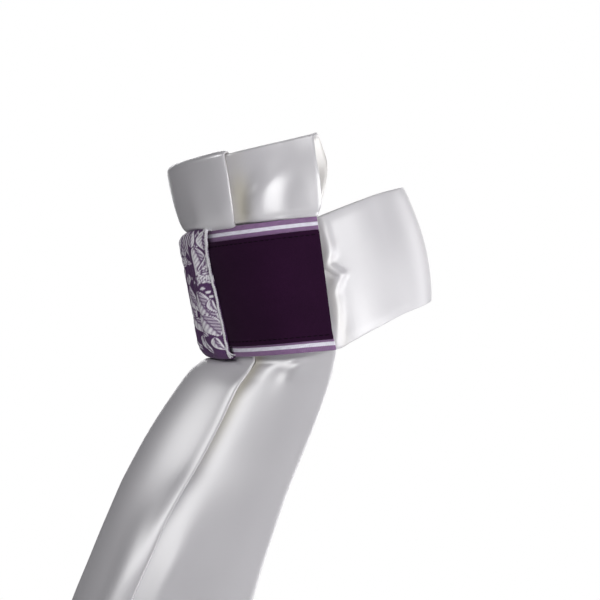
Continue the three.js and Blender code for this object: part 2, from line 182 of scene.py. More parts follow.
# %% Finish helpers
def finish(name, **sockets):
    """A new material with one cloth shader. The sockets are its fixed values."""
    material = bpy.data.materials.new(name)
    material.use_nodes = True
    tree = material.node_tree
    tree.nodes.clear()
    shader = node(tree, "ShaderNodeBsdfPrincipled", **sockets)
    node(tree, "ShaderNodeOutputMaterial", Surface=shader.outputs[0])
    return material, tree, shader


def on_cloth(tree, across, along):
    """Flat-cloth coordinates, scaled to this many units a metre across and along the cloth."""
    place = node(tree, "ShaderNodeUVMap")
    place.uv_map = "flat_cloth"
    return node(tree, "ShaderNodeMapping", Vector=place.outputs[0], Scale=(across, along, 1)).outputs[0]


def noise(tree, weave, detail):
    """Soft noise on the cloth, from 0 to 1. The weave is its units a metre across and along."""
    made = node(tree, "ShaderNodeTexNoise", Vector=on_cloth(tree, *weave), Detail=detail, Scale=1.0)
    return made.outputs["Fac"]


def ramp(tree, amount, *stops):
    """A colour that passes through stops, pairs of a place and a colour, as the amount grows."""
    made = node(tree, "ShaderNodeValToRGB", Fac=amount)
    elements = made.color_ramp.elements
    for element, (position, colour) in zip(elements, (stops[0], stops[-1])):
        element.position = position
        element.color = (*colour, 1)
    for position, colour in stops[1:-1]:
        elements.new(position).color = (*colour, 1)
    return made.outputs["Color"]


def mixed(tree, amount, first, second, blend="MIX"):
    """One colour blended into another. Each is an output of the tree or three numbers."""
    made = node(tree, "ShaderNodeMix")
    made.data_type = "RGBA"
    made.blend_type = blend
    plug(tree, made.inputs["Factor"], amount)
    ends = [socket for socket in made.inputs if socket.type == "RGBA"]
    for socket, colour in zip(ends, (first, second)):
        plug(tree, socket, (*colour, 1) if isinstance(colour, tuple) else colour)
    return [socket for socket in made.outputs if socket.type == "RGBA"][0]


def stored(tree, name):
    """A value that the piece stores at each of its points."""
    made = node(tree, "ShaderNodeAttribute")
    made.attribute_name = name
    return made.outputs["Fac"]


def surface(tree, shader, colour, height=None, depth=0, strength=1.0):
    """Colours the shader, and raises it by the height, up to a depth in metres."""
    tree.links.new(colour, shader.inputs["Base Color"])
    if depth:
        bump = node(tree, "ShaderNodeBump", Height=height, Distance=depth, Strength=strength)
        tree.links.new(bump.outputs[0], shader.inputs["Normal"])


def flecked(name, weave, detail, low, high, depth=0, **sockets):
    """A finish of fine flecks that run from one stop of a ramp to another."""
    material, tree, shader = finish(name, **sockets)
    flecks = noise(tree, weave, detail)
    surface(tree, shader, ramp(tree, flecks, low, high), flecks, depth)
    return material

# %% [markdown]
# ## Laying cloth round a neck
#
# A neck is nearly a leaning cylinder, a little deeper than it is wide. So each point of the tie is
# given as a turn round the neck (0 at the front, 90 at the wearer's left), a height along it and a
# lift off its surface. Shapes that change along the cloth are tables of a few rows with a smooth
# curve drawn through them.

# %% Places round the neck
NECK_HALF_WIDTH = 57
NECK_HALF_DEPTH = 61
NECK_LEAN = math.radians(14.2)


def leaned(place):
    """Points of the neck's own frame (across, depth, height) in millimetres, put in the room."""
    across, depth, height = np.moveaxis(place, -1, 0)
    back = depth * math.cos(NECK_LEAN) - height * math.sin(NECK_LEAN)
    up = depth * math.sin(NECK_LEAN) + height * math.cos(NECK_LEAN)
    return np.stack([across, back, up], axis=-1) * MM


def round_neck(turn, height, lift):
    """Points of the neck's own frame from turns in degrees, heights and lifts in millimetres."""
    turn, height, lift = np.broadcast_arrays(np.radians(turn), height, lift)
    across = (NECK_HALF_WIDTH + lift) * np.sin(turn)
    depth = -(NECK_HALF_DEPTH + lift) * np.cos(turn)
    return np.stack([across, depth, height], axis=-1)


# %% Smooth curves and soft steps
def curve(places, values, at):
    """A smooth curve through the values, read anywhere, and carried straight on past its ends."""
    places, values = np.asarray(places, float), np.asarray(values, float)
    steps, rises = np.pad(places, 1, "edge"), np.pad(values, 1, "edge")
    slopes = (rises[2:] - rises[:-2]) / (steps[2:] - steps[:-2])
    inside = np.clip(at, places[0], places[-1])
    row = np.clip(np.searchsorted(places, inside) - 1, 0, len(places) - 2)
    span = places[row + 1] - places[row]
    t = (inside - places[row]) / span
    ease = t * t * (3 - 2 * t)
    leave = t * (1 - t) ** 2 * span * slopes[row]
    arrive = t * t * (t - 1) * span * slopes[row + 1]
    value = values[row] * (1 - ease) + values[row + 1] * ease + leave + arrive
    beyond = np.where(at < places[0], slopes[0], slopes[-1]) * (at - inside)
    return value + beyond


def by_row(values, row):
    """A smooth curve through one value for each row of a table."""
    return curve(np.arange(len(values)), values, row)


def eased(value, start, end):
    """0 before the start, 1 past the end, and a soft step between."""
    t = np.clip((value - start) / (end - start), 0, 1)
    return t * t * (3 - 2 * t)


def swell(value, middle, half_width):
    """1 at the middle, fading to nothing over about two half widths."""
    return np.exp(-(((value - middle) / half_width) ** 2))


def from_to(first, last, share):
    return first + (last - first) * share


def unit(vectors):
    return vectors / np.maximum(np.linalg.norm(vectors, axis=-1, keepdims=True), 1e-12)


def run_along(path):
    """The length of a path from its start to each of its points."""
    return np.concatenate([[0], np.cumsum(np.linalg.norm(np.diff(path, axis=0), axis=-1))])


# %% [markdown]
# ## A piece of cloth
#
# Real cloth has two faces and an edge with a thickness. A plane would look paper thin, and a
# Solidify modifier can't follow a hem. So a piece is made from the grid of points half way through
# its thickness: one face is raised to each side, and a half-round rim joins them, as at a turned
# edge. The thickness may change from point to point, which makes a hem stand out.

# %% Cloth maker
RIM_STEPS = 4


def flat_places(middle):
    """Where each point of the grid lies on the flat cloth, in metres across and along."""
    rows, columns = middle.shape[:2]
    sides = run_along(middle[rows // 2]), run_along(middle[:, columns // 2])
    return np.stack(np.meshgrid(*sides), axis=-1)


def dress(name, points, faces, flat, material, **marks):
    """A smooth mesh object with flat-cloth coordinates and the values stored at its points."""
    mesh = bpy.data.meshes.new(name)
    mesh.from_pydata(points.tolist(), [], faces)
    layer = mesh.uv_layers.new(name="flat_cloth")
    corners = np.empty(len(mesh.loops), int)
    mesh.loops.foreach_get("vertex_index", corners)
    layer.data.foreach_set("uv", flat[corners].ravel())
    for mark, values in marks.items():
        stored_values = mesh.attributes.new(mark, "FLOAT", "POINT")
        stored_values.data.foreach_set("value", np.ascontiguousarray(values, float))
    mesh.polygons.foreach_set("use_smooth", [True] * len(mesh.polygons))
    mesh.materials.append(material)
    return added(name, mesh)


def cloth_area(middle):
    """The area of a grid of points, in square metres."""
    a, b, c, d = middle[:-1, :-1], middle[:-1, 1:], middle[1:, 1:], middle[1:, :-1]
    return float((np.linalg.norm(np.cross(c - a, d - b), axis=-1) / 2).sum())


def cloth(name, middle, thickness, material, **marks):
    """One closed piece of cloth round a grid of points, in metres; the thickness in millimetres."""
    rows, columns = middle.shape[:2]
    along = unit(np.gradient(middle, axis=0))
    across = unit(np.gradient(middle, axis=1))
    outward = unit(np.cross(across, along))
    half = np.broadcast_to(thickness, (rows, columns))[..., None] * MM / 2
    ids = np.arange(rows * columns).reshape(rows, columns)
    ring = np.concatenate([ids[0], ids[1:, -1], ids[-1, -2::-1], ids[-2:0:-1, 0]])
    away = np.zeros_like(middle)
    away[0] -= along[0]
    away[-1] += along[-1]
    away[:, 0] -= across[:, 0]
    away[:, -1] += across[:, -1]
    grids = (middle, outward, half, unit(away))
    centre, out, half, away = [grid.reshape(-1, grid.shape[-1]) for grid in grids]
    layers = [centre + out * half, centre - out * half]
    for step in range(1, RIM_STEPS):
        turn = math.pi * step / RIM_STEPS
        lifted = out[ring] * math.cos(turn) + away[ring] * math.sin(turn)
        layers.append(centre[ring] + lifted * half[ring])
    count = rows * columns
    rims = 2 * count + np.arange(len(ring) * (RIM_STEPS - 1)).reshape(RIM_STEPS - 1, -1)
    loops = [ring, *rims, ring + count]
    face = np.stack([ids[:-1, :-1], ids[:-1, 1:], ids[1:, 1:], ids[1:, :-1]], axis=-1).reshape(-1, 4)
    quads = [face, face[:, ::-1] + count]
    for first, second in zip(loops, loops[1:]):
        quads.append(np.stack([np.roll(first, -1), first, second, np.roll(second, -1)], axis=-1))
    source = np.concatenate([np.arange(count), np.arange(count)] + [ring] * (RIM_STEPS - 1))
    flat = flat_places(middle).reshape(-1, 2)[source]
    marks = {mark: np.broadcast_to(values, (rows, columns)).ravel()[source]
             for mark, values in marks.items()}
    faces = np.concatenate(quads).tolist()
    piece = dress(name, np.concatenate(layers), faces, flat, material, **marks)
    print(name, "faces:", len(piece.data.polygons), "area:", round(cloth_area(middle), 4))
    return piece


# %% Tube maker
def thread_mesh(path, radius, sides):
    """Points, faces and flat places of one round thread along a path, closed at both ends."""
    radius = np.broadcast_to(radius, len(path))
    run = unit(np.gradient(path, axis=0))
    side = unit(np.cross(run, np.array([0.37, 0.21, 0.9])))
    up = np.cross(side, run)
    turn = np.arange(sides) * 2 * math.pi / sides
    circle = np.cos(turn)[:, None, None] * side + np.sin(turn)[:, None, None] * up
    points = path + circle * radius[:, None]
    points = points.transpose(1, 0, 2).reshape(-1, 3)
    ids = np.arange(len(path) * sides).reshape(len(path), sides)
    wrapped = np.roll(ids, -1, axis=1)
    quads = np.stack([ids[:-1], wrapped[:-1], wrapped[1:], ids[1:]], axis=-1).reshape(-1, 4)
    ends = [list(ids[0, ::-1]), list(ids[-1])]
    flat = np.stack(np.meshgrid(turn * radius.mean(), run_along(path)), axis=-1).reshape(-1, 2)
    return points, quads.tolist() + ends, flat


def threads(name, paths, radius, material, sides=6):
    """One object of many round threads. The radius is in metres, and tapers if it is a list."""
    points, faces, flat, count = [], [], [], 0
    for path in paths:
        more, its_faces, its_flat = thread_mesh(path, radius, sides)
        points.append(more)
        faces += [[corner + count for corner in face] for face in its_faces]
        flat.append(its_flat)
        count += len(more)
    piece = dress(name, np.concatenate(points), faces, np.concatenate(flat), material)
    print(name, "threads:", len(paths))
    return piece

# %% [markdown]
# ## White satin
#
# Satin floats its warp threads over the face of the cloth, so it is glossy, and its highlights are
# broad and soft: they smear across the threads. An anisotropic gloss whose grain follows the warp
# gives that smear. The cloth is a cool white with faint streaks of thread. The warm, creamy shade
# in deep folds is painted shade: each piece stores it point by point, and the finish blends it in.

# %% Satin finish
SATIN_WHITE = (0.655, 0.64, 0.67)
SATIN_GREY = (0.615, 0.60, 0.635)
# The warm colour of the painted shade in deep folds.
PAINTED_CREAM_SHADE = (0.60, 0.565, 0.49)
SATIN_IOR = 2.3


def satin(name, gloss):
    """White satin. A smaller gloss value gives a sharper highlight."""
    material, tree, shader = finish(name, Roughness=gloss, Anisotropic=0.5, IOR=SATIN_IOR,
                                    Sheen_Weight=0.08, Sheen_Roughness=0.4)
    streaks = noise(tree, (900, 45), detail=3)
    clouds = noise(tree, (35, 22), detail=1)
    cloth_colour = mixed(tree, clouds, SATIN_WHITE, SATIN_GREY)
    # Painted shade: the stored hollow value blends the warm painted shade into the deep folds.
    cloth_colour = mixed(tree, stored(tree, "hollow"), cloth_colour, PAINTED_CREAM_SHADE)
    grain = node(tree, "ShaderNodeTangent")
    grain.direction_type = "UV_MAP"
    grain.uv_map = "flat_cloth"
    tree.links.new(grain.outputs[0], shader.inputs["Tangent"])
    surface(tree, shader, cloth_colour, streaks, depth=0.00006, strength=0.35)
    return material


collar_satin = satin("collar_satin", gloss=0.38)
frill_satin = satin("frill_satin", gloss=0.3)
fall_satin = satin("fall_satin", gloss=0.35)
print("satin finishes:", collar_satin.name, frill_satin.name, fall_satin.name)

# %% [markdown]
# ## The neck band
#
# The neck band is a long strip of satin folded over a stiffener, so both long edges are soft folds.
# It stands level round the back and dips at the front. Beside the end of the cross band its satin
# isn't stuck to the stiffener: it puffs up in a ridge that is pinched half way down. A grid of
# turns and heights with the ridge raised on it gives all of this. The two ends pass each other at
# the nape: the outer one comes round from the wearer's left, lifted clear of the closing tape.

# %% Neck band shape
BAND_WALL = 1.8
PAD_THICKNESS = 1.2
SEAT = 0.3
INNER_END = -196
OUTER_END = 186

BAND_TURNS = (0, 45, 84, 94, 108, 134, 200)
BAND_TOP = (34, 33, 30.4, 31.2, 33.5, 36.2, 37)
BAND_BOTTOM = (-34, -39, -47.6, -45.2, -41.6, -37.1, -34)

RIDGE_HEIGHTS = (-46, -41.4, -29.9, -21.1, -15.5, -8.5, -5.2, -1.5, 3.1, 7.3, 12, 21.3, 29.9)
RIDGE_TURNS = (83.7, 84.8, 88, 89.5, 89.8, 93.4, 95.8, 92.7, 89.8, 91.8, 93.1, 93, 93.3)
RIDGE_RISES = (1.2, 1.4, 1.5, 1.5, 1.5, 1.6, 1.6, 1.5, 1.7, 1.9, 2.0, 2.0, 1.7)
CREASE_TURN = 90.6


def band_edges(turn):
    """The heights of the band's upper and lower edges."""
    side = np.abs(turn)
    return curve(BAND_TURNS, BAND_TOP, side), curve(BAND_TURNS, BAND_BOTTOM, side)


def nape_draw(turn, height):
    """The band is drawn in at the nape, where its ends meet, and swells between its edges there."""
    top, bottom = band_edges(turn)
    swelling = 4 * np.sin(math.pi * (height - bottom) / (top - bottom))
    return (2.4 - swelling) * eased(np.abs(turn), 115, 160)


def end_rise(turn):
    """The outer end climbs over the inner end and the closing tape, and lies down at its edge."""
    climb = (BAND_WALL + PAD_THICKNESS + 2 * SEAT) * eased(turn, 128, 152)
    return climb - 1.5 * eased(turn, 183.6, 185.6)


def ridge_lift(turn, height):
    """The puffed ridge beside the cross band, and the slanting crease that pinches it."""
    side = np.abs(turn)
    crest = curve(RIDGE_HEIGHTS, RIDGE_TURNS, height)
    rise = curve(RIDGE_HEIGHTS, RIDGE_RISES, height)
    half_width = np.where(side < crest, from_to(5, 3.2, eased(height, -8, 3)), 3.2)
    ridge = rise * swell(side, crest, half_width)
    crease_line = -2.6 - 0.75 * (side - CREASE_TURN)
    crease = 1.2 * swell(height, crease_line, 1.8) * swell(side, CREASE_TURN, 3.8)
    return ridge - crease


def slack(turn, height):
    """The faint unevenness of satin over its stiffener."""
    wave = np.sin(np.radians(turn) * 9 + height * 0.05) + 0.6 * np.sin(height * 0.11 - np.radians(turn) * 5)
    return 0.16 * wave


# %% Neck band
stretches = ((INNER_END, -106, 70), (-106, -80, 66), (-80, 80, 90), (80, 106, 66), (106, OUTER_END, 70))
band_turns = np.unique(np.concatenate([np.linspace(*stretch) for stretch in stretches]))
band_shares = np.linspace(0, 1, 56)
turn_grid, share_grid = np.meshgrid(band_turns, band_shares)
band_height = from_to(*band_edges(turn_grid), share_grid)
band_lift = end_rise(turn_grid) - nape_draw(turn_grid, band_height) + BAND_WALL / 2
band_lift += ridge_lift(turn_grid, band_height) + slack(turn_grid, band_height)
band_middle = leaned(round_neck(turn_grid, band_height, band_lift))
edge_softness = 1 - 0.35 * (swell(share_grid, 0, 0.04) + swell(share_grid, 1, 0.04))
# Painted shade: a warm shade, stored as hollow, in the valley beside the end of the cross band.
neck_band = cloth("neck_band_satin", band_middle, BAND_WALL * edge_softness, collar_satin,
                  hollow=0.25 * swell(np.abs(turn_grid), 89, 3.5))
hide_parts("neck_band")
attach(neck_band, "root")

# %% [markdown]
# ## The closing tape
#
# The band's ends fasten with closing tape at the nape, which the photograph hides. It is built as
# one flat pad between them. Its face is a nap of fine loops, so its finish is matt and rough, with
# a relief of tiny knots in place of the loops.

# %% Closing tape
closing_tape = flecked(
    "closure_tape", weave=(1400, 1400), detail=3, low=(0.3, (0.62, 0.62, 0.65)),
    high=(0.7, (0.82, 0.82, 0.85)), depth=0.0005, Roughness=0.95, Sheen_Weight=0.4)

TAPE_TURNS = (-190, -176)
TAPE_HEIGHTS = (28, -26)
tape_turn, tape_height = np.meshgrid(np.linspace(*TAPE_TURNS, 30), np.linspace(*TAPE_HEIGHTS, 90))
tape_lift = BAND_WALL + SEAT + PAD_THICKNESS / 2 - nape_draw(tape_turn, tape_height)
tape_middle = leaned(round_neck(tape_turn, tape_height, tape_lift))
closure_pad = cloth("closure_tape_pad", tape_middle, PAD_THICKNESS, closing_tape)
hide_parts("closure_pad")
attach(closure_pad, "root")

# %% [markdown]
# ## How a box pleat is folded
#
# The frill and the fall are both box pleated. A middle panel lies on top, and at each side of it
# the cloth folds back underneath, turns again and comes out as a side panel. Seen along the cloth
# that is one line with two turns a side. It is written as places across the cloth and lifts off the
# surface it lies on, so the same fold can be laid on any surface. Where the pleat is free it opens:
# the first turn gets a larger radius and the panel rolls softly over its edge.

# %% Pleat section
PLY = 0.9
TOP_PLY = 3.1
PRESSED_ROLL = 0.7
FREE_OPENING = 0.9
TOP, UNDER, OUT, SIDE = range(4)


def half_section(fold, overlap, per_mm, roll, opening, side_columns, panel_columns):
    """Places, lifts and which part each column belongs to, from the middle out to one hem."""
    radius = PLY / 2 + opening
    turn_radius = PLY / 2
    arc = np.linspace(0, math.pi / 2, 9)
    under = arc[1:]
    second = np.linspace(0, math.pi, 10)[1:]
    panel = np.linspace(0, 1, panel_columns)[:-1]
    side = np.linspace(0, 1, side_columns)[1:]
    side = np.minimum(side ** 1.6, side * 0.9 + 0.1)
    start = fold - roll * per_mm
    turn = fold - overlap * per_mm + turn_radius * per_mm
    middle = TOP_PLY - 2 * radius
    low = middle - 2 * turn_radius
    runs = [
        (TOP, start * panel, TOP_PLY),
        (TOP, start + roll * np.sin(arc) * per_mm, TOP_PLY - radius * (1 - np.cos(arc))),
        (UNDER, fold - radius * (1 - np.cos(under)) * per_mm, TOP_PLY - radius - radius * np.sin(under)),
        (UNDER, from_to(fold - radius * per_mm, turn, np.linspace(0, 1, 7)[1:]), middle),
        (UNDER, turn - turn_radius * np.sin(second) * per_mm, middle - turn_radius * (1 - np.cos(second))),
        (OUT, from_to(turn, fold, np.linspace(0, 1, 8)[1:]), low),
        (SIDE, from_to(fold, 1, side), low),
    ]
    parts = np.concatenate([np.full(place.shape[-1], part) for part, place, lift in runs])
    grids = [np.broadcast_arrays(place, lift) for part, place, lift in runs]
    places, lifts = [np.concatenate(grid, axis=1) for grid in zip(*grids)]
    return places, lifts, parts


def whole_section(**half):
    """The half section and its mirror image, from hem to hem."""
    places, lifts, parts = half_section(**half)
    places = np.concatenate([-places[:, :0:-1], places], axis=1)
    lifts = np.concatenate([lifts[:, :0:-1], lifts], axis=1)
    return places, lifts, np.concatenate([parts[:0:-1], parts])


def raised(surface, place, row, lift):
    """Points that stand off a surface by a lift, square to it."""
    nudge = 0.01
    across = surface(place + nudge, row) - surface(place - nudge, row)
    along = surface(place, row + nudge) - surface(place, row - nudge)
    outward = unit(np.cross(across, along))
    return surface(place, row) + outward * lift[..., None]


# %% [markdown]
# ## The frill
#
# The frill is one strip of satin, box pleated, that climbs from behind the cross band, folds over
# at the top and goes down inside to the neck band. Seen from the side its two layers open like a
# lens. One faint fold runs down the middle panel. The side panel sinks beside the pleat, swells in
# a soft ridge and turns up at its hem, which is turned twice and shows as a small step.

# %% Frill shape
FRILL_HEIGHT = (22, 42.2, 44.8, 48.8, 59, 70.5, 80.2, 81.7, 81.7, 80.3, 76, 64, 48, 31)
FRILL_LIFT = (6, 6, 10.4, 12.5, 13.5, 13.5, 12.9, 12.2, 11.1, 9.9, 8.0, 6.4, 5.8, 5.8)
FRILL_SIDE_HEIGHT = (14, 30.8, 33.4, 38.8, 52, 66.5, 78.4, 80.1, 80.2, 78.9, 73.5, 60, 43, 26.5)
FRILL_SIDE_LIFT = (3.4, 3.4, 5.2, 7.0, 8.6, 8.4, 6.8, 6.1, 5.3, 4.5, 3.2, 2.6, 3.2, 3.3)
FRILL_END = (88.3, 89.6, 91.4, 94, 96, 97, 98.7, 100, 101, 102, 103, 103.4, 96.5, 86)
FRILL_FOLD_AT_BAND = 48
FRILL_FOLD_AT_TOP = 54
FRILL_OVERLAP = 22
LEAVES_BAND = (1.2, 2.4)

SIDE_RIDGE_HEIGHTS = (36, 44.5, 53, 60, 70)
SIDE_RIDGE_TURNS = (62, 63, 66, 70, 74)
SIDE_VALLEY_TURNS = (53, 55, 57, 60, 63)


def thinned(turn):
    """The stack of plies thins from the pleat towards the side hem."""
    return eased(np.abs(turn), 54, 86)


def frill_surface(place, row):
    turn = place * by_row(FRILL_END, row)
    side = np.abs(turn)
    turned = np.minimum(1 - np.cos(np.radians(turn)), 1)
    height = from_to(by_row(FRILL_HEIGHT, row), by_row(FRILL_SIDE_HEIGHT, row), turned)
    lift = from_to(by_row(FRILL_LIFT, row), by_row(FRILL_SIDE_LIFT, row), thinned(turn))
    crest = curve(SIDE_RIDGE_HEIGHTS, SIDE_RIDGE_TURNS, height)
    hollow = curve(SIDE_RIDGE_HEIGHTS, SIDE_VALLEY_TURNS, height)
    ridge = 2.6 * swell(side, crest, 6.5) * eased(-height, -74, -52)
    valley = 1.4 * swell(side, hollow, 4) * eased(-height, -76, -50)
    second_valley = 0.7 * swell(side, crest + 14, 5) * eased(-height, -66, -48)
    streak = 1.1 * swell(side, 31, 7) * eased(-height, -78, -60)
    # The swells show on the outer layer only, from where it leaves the band to the top fold.
    shown = eased(row, *LEAVES_BAND) * (1 - eased(row, 5.6, 7.6))
    return round_neck(turn, height, lift + shown * (ridge + streak - valley - second_valley))


# %% Frill
SATIN = 0.6
HEM_WIDTH = 3.2
HEM_STEP = 0.45


def hemmed(places, per_mm):
    """The thickness of satin whose side hems are turned twice."""
    from_hem = (1 - np.abs(places)) / per_mm
    return SATIN * (1 + HEM_STEP * (1 - eased(from_hem, HEM_WIDTH - 0.3, HEM_WIDTH + 0.2)))


def painted_ply_shade(parts):
    """A faint painted shade for the plies hidden inside a pleat."""
    return ((parts == UNDER) | (parts == OUT)) * 0.3


frill_rows = np.linspace(0, 13, 118)[:, None]
frill_end = by_row(FRILL_END, frill_rows)
frill_per_mm = 1 / (np.radians(frill_end) * (NECK_HALF_DEPTH + by_row(FRILL_LIFT, frill_rows)))
frill_free = eased(frill_rows, *LEAVES_BAND) * (1 - eased(frill_rows, 7, 9))
frill_fold = from_to(FRILL_FOLD_AT_BAND, FRILL_FOLD_AT_TOP, eased(frill_rows, 1, 5.5))
places, lifts, parts = whole_section(
    fold=frill_fold / frill_end, overlap=FRILL_OVERLAP, per_mm=frill_per_mm,
    roll=PRESSED_ROLL + 9 * frill_free, opening=FREE_OPENING * frill_free,
    side_columns=44, panel_columns=40)
frill_middle = leaned(raised(frill_surface, places, frill_rows, lifts))
# Painted shade: a warm shade on the side panel beside the pleat's fold where it stands free, and over the
# frill's inner layer.
painted_shade_beside_fold = swell(np.abs(places * frill_end), frill_fold + 4, 5) * (1 - 0.8 * eased(frill_rows, 4, 5.5))
frill_painted_shade = (parts == SIDE) * painted_shade_beside_fold * frill_free + 0.45 * eased(frill_rows, 8, 10)
frill = cloth("frill_cloth", frill_middle, hemmed(places, frill_per_mm), frill_satin,
              hollow=frill_painted_shade + painted_ply_shade(parts))
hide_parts("frill")
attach(frill, "root")

# %% [markdown]
# ## The fall
#
# The fall is the tie's long end. It slides out from under the cross band, turns over below the knot
# and hangs forward and down with its box pleat standing out like a keel. Low down the pleat's
# fold line moves outwards and rolls more softly, with a broad ridge on each side of it, and small
# puckers show where the cloth leaves the band.

# %% Fall shape
FALL_DEPTH = (-67, -67, -67.2, -68.6, -72.6, -77.6, -86, -101.8,
              -119.7, -140, -160.6, -177.6, -193.6, -203.6)
FALL_HEIGHT = (-19, -32, -39, -43.8, -47.4, -51.3, -58.8, -77, -94.9, -110.3, -125.5, -142, -160.2, -173.4)
FALL_PUFF = (0, 0, 0, 3, 9.8, 13.4, 15.6, 18.9, 19, 14.4, 7, 3, 1, 0)
FALL_ACROSS = (59.9, 59.9, 60, 60.6, 61.4, 62.4, 63.6, 67.2, 70.2, 73.2, 76.3, 80, 83, 84.5)
FALL_SIDE_DEPTH = (-7.9, -7.9, -7.8, -8.8, -11, -13.8, -18.1, -31, -44.4, -57.9, -70.3, -82.5, -93.9, -102)
FALL_SIDE_HEIGHT = (-26, -41, -46.5, -51, -55.5, -61, -67.8, -86.4,
                    -104.4, -122.2, -140.6, -159, -177.8, -190.5)
FALL_HALF_SPREAD = math.radians(83)
FOLD_AT_TOP = 0.455
FOLD_AT_HEM = 0.52


def plain_fall(place, row):
    spread = FALL_HALF_SPREAD
    turned = (1 - np.cos(place * spread)) / (1 - math.cos(spread))
    across = by_row(FALL_ACROSS, row) * np.sin(place * spread) / math.sin(spread)
    depth = from_to(by_row(FALL_DEPTH, row), by_row(FALL_SIDE_DEPTH, row), turned)
    height = from_to(by_row(FALL_HEIGHT, row), by_row(FALL_SIDE_HEIGHT, row), turned)
    return np.stack(np.broadcast_arrays(across, depth, height), axis=-1)


def fall_surface(place, row):
    reach = np.minimum(np.abs(place) / FOLD_AT_TOP, 1)
    puff = by_row(FALL_PUFF, row) * np.cos(reach * math.pi / 2) ** 2
    return raised(plain_fall, place, row, -puff)


def fall_ripples(place, row, part, from_fold):
    """The ridges beside the fold line, its raised lip and the puckers under the cross band."""
    side = np.abs(place)
    low = eased(row, 8.5, 11.5)
    ridge = from_to(0.1, 2.0, low) * swell(side, from_to(0.32, 0.42, low), 0.075)
    ridge = ridge * eased(row, 4, 6) * (part < OUT)
    side_ridge = 1.6 * swell(from_fold, 18, 9) * low * (part == SIDE)
    lip = 1.8 * swell(side, FOLD_AT_TOP, 0.16) * (1 - low) * eased(row, 4, 6) * (part < OUT)
    reach = np.maximum(from_fold, 0) / from_to(23, 17, low)
    hug = eased(from_fold, -1.1, 0.3) * np.exp(-reach ** 2)
    shoulder = from_to(3.9, 2.2, low) * hug * eased(row, 3, 7) * (part >= OUT)
    pucker = 1.1 * swell(side, 0.79, 0.06) * swell(row, 4.2, 1.0)
    pucker = (pucker - 0.8 * swell(side, 0.68, 0.06) * swell(row, 4.7, 1.1)) * (part == SIDE)
    return ridge + side_ridge + lip + shoulder + pucker


# %% Fall
fall_rows = np.linspace(0, 13, 130)[:, None]
fall_down = fall_rows / 13
fall_fold = from_to(FOLD_AT_TOP, FOLD_AT_HEM, eased(fall_rows, 7.5, 11))
fold_gap = fall_surface(fall_fold + 0.01, fall_rows) - fall_surface(fall_fold - 0.01, fall_rows)
fall_per_mm = 0.02 / np.linalg.norm(fold_gap, axis=-1)
fall_free = eased(fall_rows, 3.5, 6)
places, lifts, parts = whole_section(
    fold=fall_fold, overlap=from_to(25, 10, fall_down), per_mm=fall_per_mm,
    roll=PRESSED_ROLL + from_to(2, 10, fall_down) * fall_free, opening=FREE_OPENING * fall_free,
    side_columns=52, panel_columns=44)
from_fold = (np.abs(places) - fall_fold) / fall_per_mm
fall_lift = lifts + fall_ripples(places, fall_rows, parts, from_fold)
fall_middle = leaned(raised(fall_surface, places, fall_rows, -fall_lift))
# Painted shade: a warm shade on the side panel beside the fold, in the upper part of the fall.
fall_painted_shade = (parts == SIDE) * swell(np.abs(places), 0.47, 0.06) * (1 - eased(fall_rows, 6, 9))
fall = cloth("fall_cloth", fall_middle, hemmed(places, fall_per_mm), fall_satin,
             hollow=fall_painted_shade + painted_ply_shade(parts))
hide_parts("fall")
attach(fall, "root")

# %% [markdown]
# ## The cross band's ribbons
#
# A striped ribbon edges the cross band above and below: a white stripe between two lilac ones, woven
# in fine ribs across its length. Its inner edge is tucked under the dark panel. Each is a strip
# laid round the neck between two heights. The stripes belong to the weave, so the finish colours
# the ribbon by the distance from its outer edge, and the ribs are a fine wave in its relief.

# %% Cross band shape
CROSS_TOP = 41.5
CROSS_BOTTOM = -37.5
TOP_RIBBON_SHOWS = 8.1
BOTTOM_RIBBON_SHOWS = 6.9
RIBBON_TUCK = 5
RIBBON = 1.0
PANEL = 1.2
UPPER_END = 91
LOWER_END = 83.2
PLEAT_STACK = 9.9
HEM_STACK = 4.7


def band_top(turn):
    return CROSS_TOP - 9.7 * (1 - np.cos(np.radians(turn))) - 1.4 * swell(turn, 0, 17)


def band_bottom(turn):
    return CROSS_BOTTOM - 11.7 * (1 - np.cos(np.radians(turn))) + 3.2 * swell(turn, 0, 17)


def panel_top(turn):
    return band_top(turn) - TOP_RIBBON_SHOWS


def panel_bottom(turn):
    return band_bottom(turn) + BOTTOM_RIBBON_SHOWS


def band_end(height):
    """The turn at which the cross band ends. Its lower edge is the shorter one."""
    lowered = np.clip((CROSS_TOP - height) / (CROSS_TOP - CROSS_BOTTOM), 0, 1)
    return from_to(UPPER_END, LOWER_END, lowered)


def strip(first_edge, last_edge, rows, columns):
    """The turns and heights of a grid on the cross band between two edges."""
    share, down = np.meshgrid(np.linspace(-1, 1, columns), np.linspace(0, 1, rows))
    near = share * LOWER_END
    turn = share * band_end(from_to(first_edge(near), last_edge(near), down))
    return turn, from_to(first_edge(turn), last_edge(turn), down)


def on_band(turn, height, lift):
    """Points in metres that stand off the stack of cloth under the cross band by a lift."""
    return leaned(round_neck(turn, height, from_to(PLEAT_STACK, HEM_STACK, thinned(turn)) + lift))


# %% Ribbon finish
LILAC = (0.265, 0.145, 0.30)
RIBBON_WHITE = (0.86, 0.84, 0.95)
RIBBON_WIDTH = 13.1
STRIPES = ((2.5, LILAC), (2.75, RIBBON_WHITE), (4.75, RIBBON_WHITE), (5.0, LILAC))

